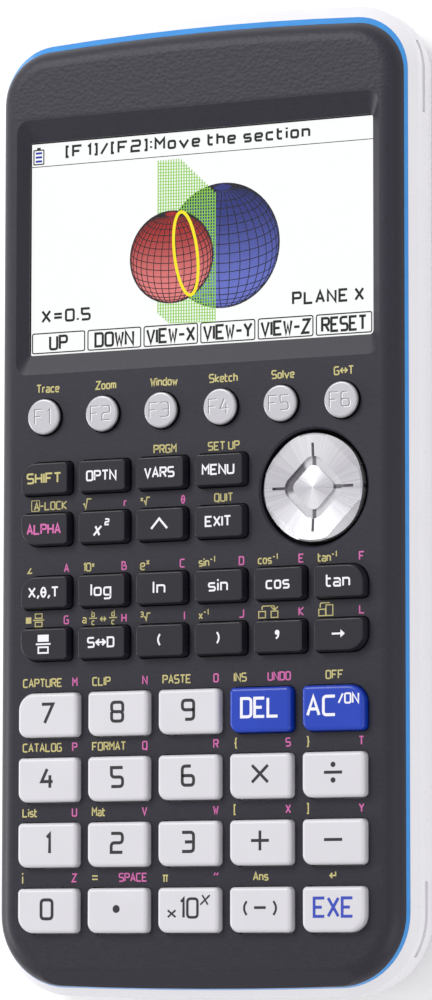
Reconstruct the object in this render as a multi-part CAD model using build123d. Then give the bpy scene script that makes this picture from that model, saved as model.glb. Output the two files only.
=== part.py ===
from build123d import *

import os
from math import cos, radians, sin

# Graphing calculator with a colour display, 46 keys and a four-way cursor disc.
# Millimetres. +X is the width, +Y points to the display end, +Z comes out of the key face.
# The calculator lies on its back: the origin is the centre of the rest face.

# ---- driving dimensions -------------------------------------------------------------
BODY_WIDTH = 89.0
BODY_LENGTH = 188.5
BODY_CORNER = 12.75
KEY_END_CORNER = 15.5
TOP_SAG = 1.7  # how far the arched display end drops at its corners
BOTTOM_SAG = 0.9
SHOULDER_DROP = 5.4  # below the face, where the rear shell starts to close in
REAR_RIM_DROP = 3.5
REAR_ROUND = 6.6
REAR_WALL = 1.6
PLATE = 1.6  # front cover thickness
FRONT_EDGE_DROP = 2.7
FRONT_ROUND = 3.9
CHIN_LENGTH = 3.6  # flat facet across the key end of the front cover
CHIN_DROP = 2.85
BAND_GAP = 0.05

# side, display-end and key-end insets from the widest outline
FRONT_INSET = (1.55, 3.35, 1.60)
BAND_TOP_INSET = (1.75, 3.50, 1.80)
BAND_FOOT_INSET = (1.25, 2.30, 1.55)
REAR_CAVITY_INSET = (2.30, 3.85, 2.75)
LIP_INSET = (3.20, 4.85, 3.35)
LIP_WALL = 1.2
LIP_DEPTH = 2.4
LIP_CLEARANCE = 0.1

# display
RECESS_HALF_WIDTH = 38.8
RECESS_BOTTOM_Y = 25.96
RECESS_TOP_Y = 76.05
RECESS_CORNER = 2.5
SILL_HALF_WIDTH = 36.8
SILL_BOTTOM_Y = 29.93
SILL_TOP_Y = 71.85
SILL_CORNER = 0.8
SILL_DEPTH = 1.7
WINDOW_DEPTH = 2.0
WINDOW_THICKNESS = 0.8
WINDOW_SEAT = 1.1  # how far the window reaches under the sill
WINDOW_CLEARANCE = 0.2
COLLAR_DEPTH = 2.0
COLLAR_MARGIN = 1.3
GLASS_THICKNESS = 0.85
TRAY_THICKNESS = 0.4

# keys
F_KEY_DIAMETER = 6.92
F_KEY_RISE = 1.2
F_KEY_Y = 17.54
F_KEY_PITCH = 12.67
F_KEY_MIDDLE = -0.42  # how far each group's middle sits off the centre line
DARK_PITCH = 12.5
DARK_MIDDLE = -0.15
DARK_BASE = (10.6, 6.3)
DARK_TOP = (9.9, 5.85)
DARK_RISE = 2.0
DARK_SHOULDER = 0.5
WHITE_PITCH = 15.11
WHITE_MIDDLE = -0.4
WHITE_BASE = (12.8, 8.5)
WHITE_RISE = 1.8
WHITE_EDGE = 0.75
KEY_CORNER = 0.9
KEY_BIG_CORNER = 3.3
WHITE_FOOT_CORNER = 1.9  # every white or blue key has a rounder lower left corner
KEY_GAP = 0.25
KEY_FLANGE = 0.55
FLANGE_GAP = 0.05
FLANGE_THICKNESS = 1.05
KEY_TRAVEL = 1.2

# cursor disc
CURSOR_X = 25.1
CURSOR_Y = 1.35
CURSOR_DIAMETER = 20.5
CURSOR_GAP = 0.85
CURSOR_BEVEL = 0.4  # round the rim of its opening
CURSOR_RISE = 0.5
CURSOR_THICKNESS = 2.1
CURSOR_DISH = 0.45
CURSOR_FACET_CUT = 1.5  # depth of each diagonal facet in from the rim
CURSOR_FACET_TILT = 28.0
CURSOR_RING_OUT = 5.35  # from the rim in to the flats of the ring recess
CURSOR_RING_IN = 6.85  # from the rim in to the flats of the centre cap
CURSOR_RING_DEPTH = 0.5
CURSOR_SLOT = (3.8, 1.85, 0.55)  # length, distance from the rim, width
GIMBAL_DROP = 3.9
GIMBAL_RADIUS = 4.4
GIMBAL_WALL = 1.1
GIMBAL_HEIGHT = 1.0
GIMBAL_PIN = 0.4
GIMBAL_PIN_REACH = 5.9
GIMBAL_BORE_CLEARANCE = 0.06
GIMBAL_LUG_FROM = 4.95
GIMBAL_LUG = 1.15
GIMBAL_LUG_WIDTH = 2.0

# board and mat
BOARD_DROP = 8.1
BOARD_THICKNESS = 1.2
BOARD_SIDE_MARGIN = 6.5
BOARD_END_MARGIN = 6.25
MAT_SIDE_MARGIN = 7.5
MAT_END_MARGIN = 7.75
MAT_LEAD = 4.66  # beyond the round keys
MAT_THICKNESS = 1.0
MAT_GAP = 0.05
DOME_GAP = 0.15  # left under a fully pressed key
DOME_BASE = 3.0
DOME_TOP = 2.2

# battery bay
CELL_DIAMETER = 10.3
CELL_LENGTH = 44.5
CELL_NUB = (1.9, 0.9)  # radius, length
CELL_SPACING = 0.6
CELL_TOP_GAP = 0.2
CELL_COUNT = 4
BAY_SIDE_GAP = 0.2
BAY_BOTTOM_Y = 25.4
BAY_SPRING_ROOM = 7.3
BAY_WALL = 2.4
BAY_ROOF = 0.6
BAY_TOP_GAP = 0.1
COVER_THICKNESS = 1.1
COVER_LAP = 1.4  # ledge that the cover lies on
COVER_CLEARANCE = 0.2
COVER_TAB = (13.0, 5.0, 1.5)  # place across, width, reach
COVER_TAB_Z = (0.9, 1.5)
CONTACT_THICKNESS = 0.4
CONTACT_GAP = 0.05
SPRING_RADIUS = 3.1
SPRING_WIRE = 0.5
SPRING_TURNS = 4

# screws
SCREW_MID_MARGIN = 7.5
SCREW_MID_LEAD = 5.36  # beyond the round keys
SCREW_END_MARGIN = 8.3
SCREW_TOP_MARGIN = 9.25
SCREW_BOTTOM_MARGIN = 9.55
BOSS_RADIUS = 2.2
BOSS_Z = 6.0  # where front and rear bosses meet
REAR_BOSS_RADIUS = 3.0
SCREW_RADIUS = 1.0
SCREW_CLEARANCE = 0.03
SCREW_LENGTH = 8.5
SCREW_HEAD = (1.9, 1.2)
SCREW_WELL = (2.2, 2.2)
BOARD_NOTCH = 2.7

# ports, rails and the restart hole
USB_X = 13.0
USB_SHELL = (7.7, 9.0, 3.9)
USB_WALL = 0.35
USB_OPENING_MARGIN = 0.4
JACK_X = -13.0
JACK_BODY = (6.4, 5.0)  # width, height
JACK_BORE = 1.25
JACK_COLLAR = 2.6
RAIL_FROM_END = (7.75, 21.75)
RAIL_DROP = (7.4, 8.6)
RAIL_DEPTH = 0.8
RESTART_X = -18.0
RESTART_Y = 9.0
RESTART_PIN = 1.0
RESTART_BORE = 1.25
RESTART_FLANGE = (1.9, 0.7)
RESTART_TRAVEL = 0.4
RESTART_SWITCH = 1.2

# ---- values worked out from them ----------------------------------------------------
FACE_Z = (COVER_THICKNESS + COVER_CLEARANCE + CELL_DIAMETER + CELL_TOP_GAP + BAY_ROOF + BAY_TOP_GAP
          + TRAY_THICKNESS + GLASS_THICKNESS + CONTACT_GAP + WINDOW_THICKNESS + WINDOW_DEPTH)
BODY_LOFT_Z = FACE_Z - SHOULDER_DROP
REAR_RIM_Z = FACE_Z - REAR_RIM_DROP
GIMBAL_Z = FACE_Z - GIMBAL_DROP
BOARD_Z = FACE_Z - BOARD_DROP
BOARD_HALF_WIDTH = BODY_WIDTH / 2 - BOARD_SIDE_MARGIN
BOARD_END = BODY_LENGTH / 2 - BOARD_END_MARGIN
MAT_HALF_WIDTH = BODY_WIDTH / 2 - MAT_SIDE_MARGIN
MAT_TOP_Y = F_KEY_Y + MAT_LEAD
MAT_BOTTOM_Y = -BODY_LENGTH / 2 + MAT_END_MARGIN
CELL_PITCH = CELL_DIAMETER + CELL_SPACING
BAY_HALF_WIDTH = CELL_COUNT * CELL_PITCH / 2 + BAY_SIDE_GAP
BAY_TOP_Y = BAY_BOTTOM_Y + CELL_LENGTH + BAY_SPRING_ROOM
SCREWS = [
    (BODY_WIDTH / 2 - SCREW_MID_MARGIN, F_KEY_Y + SCREW_MID_LEAD),
    (BODY_WIDTH / 2 - SCREW_END_MARGIN, BODY_LENGTH / 2 - SCREW_TOP_MARGIN),
    (BODY_WIDTH / 2 - SCREW_END_MARGIN, -BODY_LENGTH / 2 + SCREW_BOTTOM_MARGIN),
]
RAIL_Y = [BODY_LENGTH / 2 - margin for margin in RAIL_FROM_END]
RAIL_Z = [FACE_Z - drop for drop in RAIL_DROP[::-1]]
FRONT_EDGE_Z = FACE_Z - FRONT_EDGE_DROP
PLATE_Z = FACE_Z - PLATE
FLANGE_TOP_Z = PLATE_Z - FLANGE_GAP
KEY_FOOT_Z = FLANGE_TOP_Z - FLANGE_THICKNESS
BOARD_TOP_Z = BOARD_Z + BOARD_THICKNESS
MAT_Z = BOARD_TOP_Z + MAT_GAP
MAT_TOP_Z = MAT_Z + MAT_THICKNESS
WINDOW_TOP_Z = FACE_Z - WINDOW_DEPTH
WINDOW_Z = WINDOW_TOP_Z - WINDOW_THICKNESS
GLASS_Z = WINDOW_Z - CONTACT_GAP - GLASS_THICKNESS
TRAY_Z = GLASS_Z - TRAY_THICKNESS
BAY_ROOF_Z = TRAY_Z - BAY_TOP_GAP
CELL_Z = COVER_THICKNESS + COVER_CLEARANCE + CELL_DIAMETER / 2
CURSOR_TOP_Z = FACE_Z + CURSOR_RISE
CURSOR_FOOT_Z = CURSOR_TOP_Z - CURSOR_THICKNESS

ROWS_DARK = [
    (5.47, ["key_shift", "key_optn", "key_vars", "key_menu"]),
    (-4.39, ["key_alpha", "key_square", "key_power", "key_exit"]),
    (-16.59, ["key_variable", "key_log", "key_ln", "key_sin", "key_cos", "key_tan"]),
    (-26.59, ["key_fraction", "key_convert", "key_paren_open", "key_paren_close",
              "key_comma", "key_arrow"]),
]
ROWS_WHITE = [
    (-40.25, ["key_7", "key_8", "key_9", "key_delete", "key_clear"]),
    (-52.69, ["key_4", "key_5", "key_6", "key_times", "key_divide"]),
    (-65.18, ["key_1", "key_2", "key_3", "key_plus", "key_minus"]),
    (-77.70, ["key_0", "key_point", "key_exponent", "key_negative", "key_execute"]),
]
# the corner of each group-end key that is drawn with the large radius
BIG_CORNER = {
    "key_shift": "top_left", "key_alpha": "bottom_left",
    "key_variable": "top_left", "key_fraction": "bottom_left",
    "key_tan": "top_right", "key_arrow": "bottom_right",
    "key_7": "top_left", "key_0": "bottom_left",
    "key_clear": "top_right", "key_execute": "bottom_right",
}


# ---- helpers ------------------------------------------------------------------------
def outline(inset, extra=0.0):
    """Plan outline of the body: straight sides, arched ends, round corners, moved in by inset."""
    side, top, bottom = (value + extra for value in inset)
    half = BODY_WIDTH / 2 - side
    y_top = BODY_LENGTH / 2 - top
    y_bottom = -BODY_LENGTH / 2 + bottom
    display_corner = max(BODY_CORNER - (side + top) / 2, 1.0)
    key_corner = max(KEY_END_CORNER - (side + bottom) / 2, 1.0)
    left_top = (-half, y_top - TOP_SAG)
    right_top = (half, y_top - TOP_SAG)
    left_bottom = (-half, y_bottom + BOTTOM_SAG)
    right_bottom = (half, y_bottom + BOTTOM_SAG)
    face = make_face([
        ThreePointArc(left_top, (0, y_top), right_top),
        Line(right_top, right_bottom),
        ThreePointArc(right_bottom, (0, y_bottom), left_bottom),
        Line(left_bottom, left_top),
    ])
    face = fillet(face.vertices().group_by(Axis.Y)[-1], display_corner)
    return fillet(face.vertices().group_by(Axis.Y)[0], key_corner)


def slab(face, z_from, z_to):
    """Plan face pulled up from z_from to z_to."""
    return Pos(0, 0, z_from) * extrude(face, z_to - z_from)


def block(x_from, x_to, y_from, y_to, z_from, z_to, corner=0.0):
    """Box between two corners, with round vertical edges if corner is given."""
    centre = Pos((x_from + x_to) / 2, (y_from + y_to) / 2, z_from)
    if corner:
        face = RectangleRounded(x_to - x_from, y_to - y_from, corner)
    else:
        face = Rectangle(x_to - x_from, y_to - y_from)
    return centre * extrude(face, z_to - z_from)


def rod(x, y, radius, z_from, z_to):
    """Upright cylinder."""
    return Pos(x, y, z_from) * extrude(Circle(radius), z_to - z_from)


def edges_at(shape, z):
    """Edges that lie flat at height z."""
    return shape.edges().filter_by_position(Axis.Z, z - 0.001, z + 0.001)


def cap_outline(size, big_corner, grow=0.0, corner=KEY_CORNER, foot_corner=KEY_CORNER):
    """Rectangle with round corners, one of them large; foot_corner is the lower left one."""
    half_x = size[0] / 2 + grow
    half_y = size[1] / 2 + grow
    big = KEY_BIG_CORNER + grow - (KEY_CORNER - corner)
    places = {
        "top_left": (-half_x, half_y), "top_right": (half_x, half_y),
        "bottom_right": (half_x, -half_y), "bottom_left": (-half_x, -half_y),
    }
    face = make_face(Polyline(*places.values(), close=True))
    for name, place in places.items():
        radius = corner + grow
        if name == "bottom_left" and foot_corner > KEY_CORNER:
            radius = foot_corner + grow
        if name == big_corner:
            radius = big
        vertex = face.vertices().sort_by_distance((place[0], place[1], 0))[0]
        face = fillet(vertex, radius)
    return face


# ---- keys ---------------------------------------------------------------------------
def key_places():
    """Name, kind, centre x, centre y and large corner of every key."""
    for column in range(6):
        x = F_KEY_MIDDLE + (column - 2.5) * F_KEY_PITCH
        yield f"key_f{column + 1}", "round", x, F_KEY_Y, None
    for y, names in ROWS_DARK:
        for column, name in enumerate(names):
            x = DARK_MIDDLE + (column - 2.5) * DARK_PITCH
            yield name, "dark", x, y, BIG_CORNER.get(name)
    for y, names in ROWS_WHITE:
        for column, name in enumerate(names):
            x = WHITE_MIDDLE + (column - 2) * WHITE_PITCH
            yield name, "white", x, y, BIG_CORNER.get(name)


def key_face(kind, big_corner, grow=0.0):
    """Plan outline of a key's body, moved out by grow."""
    if kind == "round":
        return Circle(F_KEY_DIAMETER / 2 + grow)
    if kind == "dark":
        return cap_outline(DARK_BASE, big_corner, grow)
    return cap_outline(WHITE_BASE, big_corner, grow, foot_corner=WHITE_FOOT_CORNER)


def key(kind, x, y, big_corner):
    """Key cap with the flange that holds it under the front cover."""
    flange = slab(key_face(kind, big_corner, KEY_FLANGE), KEY_FOOT_Z, FLANGE_TOP_Z)
    if kind == "round":
        top = FACE_Z + F_KEY_RISE
        cap = slab(key_face(kind, big_corner), FLANGE_TOP_Z, top)
        cap = fillet(edges_at(cap, top), F_KEY_RISE / 3)
    elif kind == "dark":
        shoulder = FACE_Z + DARK_SHOULDER
        top = FACE_Z + DARK_RISE
        inset = (DARK_BASE[0] - DARK_TOP[0]) / 2
        low = Pos(0, 0, shoulder) * key_face(kind, big_corner)
        high = Pos(0, 0, top) * cap_outline(DARK_TOP, big_corner, 0.0, KEY_CORNER - inset / 2)
        cap = slab(key_face(kind, big_corner), FLANGE_TOP_Z, shoulder)
        cap += loft([low.face(), high.face()], ruled=True)
        cap = fillet(edges_at(cap, top), DARK_SHOULDER / 2)
    else:
        top = FACE_Z + WHITE_RISE
        cap = slab(key_face(kind, big_corner), FLANGE_TOP_Z, top)
        cap = fillet(edges_at(cap, top), WHITE_EDGE)
    return Pos(x, y, 0) * (flange + cap)


# ---- cursor -------------------------------------------------------------------------
def diamond(flat, corner):
    """Square turned by 45 degrees with round corners; flat is the centre-to-side distance."""
    return Rot(0, 0, 45) * RectangleRounded(2 * flat, 2 * flat, corner)


def cursor_disc():
    """Dished disc with a ring recess round a centre cap, four slots and two gimbal lugs."""
    radius = CURSOR_DIAMETER / 2
    cap_flat = radius - CURSOR_RING_IN
    valley = cap_flat * 1.3
    profile = make_face(Polyline(
        (0, CURSOR_FOOT_Z), (radius, CURSOR_FOOT_Z), (radius, CURSOR_TOP_Z - 0.3),
        (radius - 0.3, CURSOR_TOP_Z), (valley, CURSOR_TOP_Z - CURSOR_DISH),
        (0, CURSOR_TOP_Z - CURSOR_DISH / 4), close=True,
    ))
    disc = revolve(Plane.XZ * profile, Axis.Z)
    chord = radius - CURSOR_FACET_CUT
    for quarter in range(4):
        facet = Box(2 * CURSOR_FACET_CUT, 2 * radius, CURSOR_THICKNESS,
                    align=(Align.MIN, Align.CENTER, Align.MIN))
        facet = Pos(chord, 0, CURSOR_TOP_Z - 0.12) * Rot(0, CURSOR_FACET_TILT, 0) * facet
        disc -= Rot(0, 0, 45 + 90 * quarter) * facet
    floor = CURSOR_TOP_Z - CURSOR_DISH - CURSOR_RING_DEPTH
    ring_out = radius - CURSOR_RING_OUT
    disc -= slab(diamond(ring_out, ring_out / 2) - diamond(cap_flat, cap_flat / 2.2),
                 floor, CURSOR_TOP_Z + 1)
    length, from_rim, width = CURSOR_SLOT
    slot_end = radius - from_rim
    slot = block(slot_end - length, slot_end, -width / 2, width / 2, floor, CURSOR_TOP_Z + 1)
    for quarter in range(4):
        disc -= Rot(0, 0, 90 * quarter) * slot
    for side in (-1, 1):
        disc += lug(side, CURSOR_FOOT_Z, GIMBAL_Z - GIMBAL_LUG_WIDTH / 2, "y")
    return Pos(CURSOR_X, CURSOR_Y, 0) * disc


def lug(side, z_from, z_to, axis):
    """Upright lug with a bore for one gimbal pin."""
    reach = side * (GIMBAL_LUG_FROM + GIMBAL_LUG / 2)
    height = abs(z_to - z_from)
    plate = Pos(reach, 0, min(z_from, z_to)) * extrude(
        Rectangle(GIMBAL_LUG, GIMBAL_LUG_WIDTH), height)
    bore = Pos(reach, 0, GIMBAL_Z) * Rot(0, 90, 0) * Cylinder(
        GIMBAL_PIN + GIMBAL_BORE_CLEARANCE, 3 * GIMBAL_LUG)
    plate -= bore
    return Rot(0, 0, 90) * plate if axis == "y" else plate


def cursor_pivot():
    """Gimbal ring: pins along X turn in the board's posts, pins along Y carry the disc."""
    ring = Circle(GIMBAL_RADIUS) - Circle(GIMBAL_RADIUS - GIMBAL_WALL)
    body = slab(ring, GIMBAL_Z - GIMBAL_HEIGHT / 2, GIMBAL_Z + GIMBAL_HEIGHT / 2)
    start = GIMBAL_RADIUS - GIMBAL_WALL / 2
    length = GIMBAL_PIN_REACH - start
    pin = Pos(start + length / 2, 0, GIMBAL_Z) * Rot(0, 90, 0) * Cylinder(GIMBAL_PIN, length)
    for quarter in range(4):
        body += Rot(0, 0, 90 * quarter) * pin
    return Pos(CURSOR_X, CURSOR_Y, 0) * body


# ---- case ---------------------------------------------------------------------------
def screw_places():
    return [(side * x, y) for x, y in SCREWS for side in (-1, 1)]


def front_case():
    """Front cover: round-edged plate, display recess and collar, key openings, lip and bosses."""
    body = slab(outline(FRONT_INSET), FACE_Z - FRONT_ROUND - 0.1, FACE_Z)
    body = fillet(edges_at(body, FACE_Z), FRONT_ROUND)
    chin_y = -BODY_LENGTH / 2 + FRONT_INSET[2]
    chin = Plane.YZ * make_face(Polyline(
        (chin_y + CHIN_LENGTH, FACE_Z), (chin_y, FACE_Z - CHIN_DROP), (chin_y - 1, FACE_Z - CHIN_DROP),
        (chin_y - 1, FACE_Z + 1), (chin_y + CHIN_LENGTH, FACE_Z + 1), close=True))
    body -= extrude(chin, BODY_WIDTH / 2, both=True)
    body -= block(-BODY_WIDTH, BODY_WIDTH, -BODY_LENGTH, BODY_LENGTH, 0, FRONT_EDGE_Z)
    body -= slab(outline(LIP_INSET, LIP_WALL), 0, PLATE_Z)
    lip = outline(LIP_INSET) - outline(LIP_INSET, LIP_WALL)
    body += slab(lip, FRONT_EDGE_Z - LIP_DEPTH, FRONT_EDGE_Z)

    collar_half = BODY_WIDTH / 2 - LIP_INSET[0] - LIP_WALL / 2
    body += block(-collar_half, collar_half, RECESS_BOTTOM_Y - COLLAR_MARGIN,
                  RECESS_TOP_Y + COLLAR_MARGIN, PLATE_Z - COLLAR_DEPTH, PLATE_Z)
    rim = Pos(0, (RECESS_TOP_Y + RECESS_BOTTOM_Y) / 2, FACE_Z) * RectangleRounded(
        2 * RECESS_HALF_WIDTH, RECESS_TOP_Y - RECESS_BOTTOM_Y, RECESS_CORNER)
    sill = Pos(0, (SILL_TOP_Y + SILL_BOTTOM_Y) / 2, FACE_Z - SILL_DEPTH) * RectangleRounded(
        2 * SILL_HALF_WIDTH, SILL_TOP_Y - SILL_BOTTOM_Y, SILL_CORNER)
    body -= loft([sill.face(), rim.face()], ruled=True)
    body -= block(-SILL_HALF_WIDTH, SILL_HALF_WIDTH, SILL_BOTTOM_Y, SILL_TOP_Y,
                  WINDOW_Z, FACE_Z - SILL_DEPTH, SILL_CORNER)
    seat = WINDOW_SEAT + WINDOW_CLEARANCE
    body -= block(-SILL_HALF_WIDTH - seat, SILL_HALF_WIDTH + seat, SILL_BOTTOM_Y - seat - WINDOW_SEAT,
                  SILL_TOP_Y + seat + WINDOW_SEAT, PLATE_Z - COLLAR_DEPTH, WINDOW_TOP_Z)

    for x, y in screw_places():
        body += rod(x, y, BOSS_RADIUS, BOSS_Z, PLATE_Z)
    for _, kind, x, y, big_corner in key_places():
        opening = key_face(kind, big_corner, KEY_GAP)
        body -= Pos(x, y, 0) * slab(opening, PLATE_Z, FACE_Z)
    opening = CURSOR_DIAMETER / 2 + CURSOR_GAP
    body -= rod(CURSOR_X, CURSOR_Y, opening, PLATE_Z, FACE_Z)
    body -= Pos(CURSOR_X, CURSOR_Y, FACE_Z - CURSOR_BEVEL / 2) * Cone(
        opening, opening + CURSOR_BEVEL, CURSOR_BEVEL)
    for x, y in screw_places():
        bore = SCREW_RADIUS + SCREW_CLEARANCE
        body -= rod(x, y, bore, BOSS_Z, SCREW_WELL[1] + SCREW_LENGTH)
    return body


def display_window():
    """Clear plate seated from below in the collar."""
    return block(-SILL_HALF_WIDTH - WINDOW_SEAT, SILL_HALF_WIDTH + WINDOW_SEAT,
                 SILL_BOTTOM_Y - 2 * WINDOW_SEAT, SILL_TOP_Y + 2 * WINDOW_SEAT,
                 WINDOW_Z, WINDOW_TOP_Z)


def lcd_panel():
    """Display module: glass sandwich on its backlight tray."""
    half = SILL_HALF_WIDTH + WINDOW_SEAT
    y_from = SILL_BOTTOM_Y - 2 * WINDOW_SEAT
    y_to = SILL_TOP_Y + 2 * WINDOW_SEAT
    glass = block(-half, half, y_from, y_to, GLASS_Z, GLASS_Z + GLASS_THICKNESS)
    tray = block(-half, half, y_from - 0.6, y_to + 0.6, TRAY_Z, GLASS_Z)
    return glass + tray


def trim_band():
    """Translucent band clamped between the case halves, its outer face sloping outwards."""
    top_z = FRONT_EDGE_Z - BAND_GAP
    foot_z = REAR_RIM_Z + BAND_GAP
    foot = Pos(0, 0, foot_z) * outline(BAND_FOOT_INSET)
    top = Pos(0, 0, top_z) * outline(BAND_TOP_INSET)
    band = loft([foot.face(), top.face()], ruled=True)
    return band - slab(outline(LIP_INSET, -LIP_CLEARANCE), foot_z, top_z)


def rear_outer():
    """Outer form of the rear shell: round back edges, upright side, sloping shoulder."""
    body = slab(outline((0, 0, 0)), 0, BODY_LOFT_Z)
    foot = Pos(0, 0, BODY_LOFT_Z) * outline((0, 0, 0))
    rim = Pos(0, 0, REAR_RIM_Z) * outline(BAND_FOOT_INSET)
    body += loft([foot.face(), rim.face()], ruled=True)
    return fillet(edges_at(body, 0), REAR_ROUND)


def bay(extra, z_from, z_to):
    """Block over the battery bay's plan, moved out by extra."""
    return block(-BAY_HALF_WIDTH - extra, BAY_HALF_WIDTH + extra,
                 BAY_BOTTOM_Y - extra, BAY_TOP_Y + extra, z_from, z_to)


def rail_slots():
    """Two short slots in each side that a slide-on cover runs in."""
    band = outline((-1, -1, -1)) - outline((RAIL_DEPTH, RAIL_DEPTH, RAIL_DEPTH))
    band = slab(band, *RAIL_Z)
    cuts = []
    for end in (-1, 1):
        for side in (-1, 1):
            y_values = sorted(end * value for value in RAIL_Y)
            x_values = sorted((side * BODY_WIDTH / 4, side * BODY_WIDTH))
            cuts.append(band & block(*x_values, *y_values, *RAIL_Z))
    return cuts


def rear_case():
    """Rear shell with battery bay, rail slots, ports, bosses, board posts and restart bore."""
    body = rear_outer()
    cavity = slab(outline(REAR_CAVITY_INSET), REAR_WALL, REAR_RIM_Z)
    body -= fillet(edges_at(cavity, REAR_WALL), REAR_ROUND - REAR_WALL)
    body += bay(BAY_WALL, REAR_WALL / 2, BAY_ROOF_Z)
    for x, y in screw_places():
        body += rod(x, y, REAR_BOSS_RADIUS, REAR_WALL / 2, BOSS_Z)
    for x, y in [(-20, -42), (20, -42), (-20, -74), (20, -74), (0, -8)]:
        body += rod(x, y, 1.6, REAR_WALL / 2, BOARD_Z)
    body += rod(RESTART_X, RESTART_Y, RESTART_FLANGE[0] + 1.0, REAR_WALL / 2, REAR_WALL * 2)

    body -= bay(0, 0, BAY_ROOF_Z - BAY_ROOF)
    body -= bay(COVER_LAP, 0, COVER_THICKNESS + 0.1)
    place, width, reach = COVER_TAB
    for side in (-1, 1):
        pocket = width / 2 + COVER_CLEARANCE
        body -= block(side * place - pocket, side * place + pocket,
                      BAY_BOTTOM_Y - COVER_LAP - reach - COVER_CLEARANCE, BAY_BOTTOM_Y + 0.2,
                      COVER_TAB_Z[0] - 0.1, COVER_TAB_Z[1] + 0.9)
    for x, y in screw_places():
        body -= rod(x, y, SCREW_WELL[0], 0, SCREW_WELL[1])
        body -= rod(x, y, SCREW_RADIUS + 0.2, SCREW_WELL[1], BOSS_Z)
    body -= rod(RESTART_X, RESTART_Y, RESTART_BORE, 0, 2 * REAR_WALL)
    body -= rod(RESTART_X, RESTART_Y, RESTART_FLANGE[0] + 0.2, REAR_WALL, 2 * REAR_WALL)

    margin = USB_OPENING_MARGIN
    wall_y = BODY_LENGTH / 2
    body -= block(USB_X - USB_SHELL[0] / 2 - margin, USB_X + USB_SHELL[0] / 2 + margin,
                  BOARD_END, wall_y + 1, BOARD_Z - USB_SHELL[2] - margin, BOARD_Z + margin)
    jack_z = BOARD_Z - JACK_BODY[1] / 2
    body -= Pos(JACK_X, wall_y, jack_z) * Rot(90, 0, 0) * Cylinder(
        JACK_COLLAR + 0.15, 4 * REAR_CAVITY_INSET[1])
    for cut in rail_slots():
        body -= cut
    return body


def battery_cover():
    """Flush bay cover: two hook tabs at the key end, a finger grip at the display end."""
    lap = COVER_LAP - COVER_CLEARANCE
    body = bay(lap, 0, COVER_THICKNESS)
    place, width, reach = COVER_TAB
    edge_y = BAY_BOTTOM_Y - lap
    for side in (-1, 1):
        body += block(side * place - width / 2, side * place + width / 2,
                      edge_y - reach, edge_y + 1.5, *COVER_TAB_Z)
    grip_y = BAY_TOP_Y - 6
    for line in range(4):
        y = grip_y - 1.6 * line
        body -= block(-6, 6, y - 0.4, y + 0.4, 0, 0.35)
    return body


# ---- electrics ----------------------------------------------------------------------
def cell_places():
    """Centre x of each cell and the way its nub points."""
    for index in range(CELL_COUNT):
        yield (index - (CELL_COUNT - 1) / 2) * CELL_PITCH, 1 if index % 2 == 0 else -1


def bay_middle():
    return (BAY_BOTTOM_Y + BAY_TOP_Y) / 2


def contact_face():
    """Distance from the bay's middle to the inner face of a contact plate."""
    return (BAY_TOP_Y - BAY_BOTTOM_Y) / 2 - CONTACT_THICKNESS - CONTACT_GAP


def batteries():
    """Four AAA cells side by side, facing alternate ways."""
    cells = []
    nub_radius, nub_length = CELL_NUB
    for x, way in cell_places():
        can = extrude(Circle(CELL_DIAMETER / 2), CELL_LENGTH - nub_length)
        can = fillet(can.edges(), 0.5)
        cell = can + Pos(0, 0, CELL_LENGTH - nub_length) * extrude(Circle(nub_radius), nub_length)
        cell = Pos(0, 0, contact_face() - CONTACT_GAP - CELL_LENGTH) * cell
        cells.append(Pos(x, bay_middle(), CELL_Z) * Rot(-90 * way, 0, 0) * cell)
    return Compound(children=cells)


def battery_contacts():
    """A contact plate at both ends of each cell and a coil spring at its flat end."""
    pieces = []
    room = 2 * contact_face() - CELL_LENGTH - 3 * CONTACT_GAP
    height = room - SPRING_WIRE
    for x, way in cell_places():
        for end in (-1, 1):
            y = bay_middle() + end * (contact_face() + CONTACT_THICKNESS / 2)
            plate = Box(CELL_PITCH - 1.6, CONTACT_THICKNESS, CELL_DIAMETER - 1.5)
            pieces.append(Pos(x, y, CELL_Z) * plate)
        path = Helix(height / SPRING_TURNS, height, SPRING_RADIUS, cone_angle=6)
        wire = Plane(path @ 0, z_dir=path % 0) * Circle(SPRING_WIRE / 2)
        coil = sweep(wire, path)
        coil = Pos(0, 0, -contact_face() + CONTACT_GAP + SPRING_WIRE / 2) * coil
        pieces.append(Pos(x, bay_middle(), CELL_Z) * Rot(-90 * way, 0, 0) * coil)
    return Compound(children=pieces)


def board_holes():
    """Everything that passes through the board: bay, bosses."""
    cuts = [bay(BAY_WALL + 0.4, 0, FACE_Z)]
    cuts += [rod(x, y, BOARD_NOTCH, 0, FACE_Z) for x, y in screw_places()]
    return cuts


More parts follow.
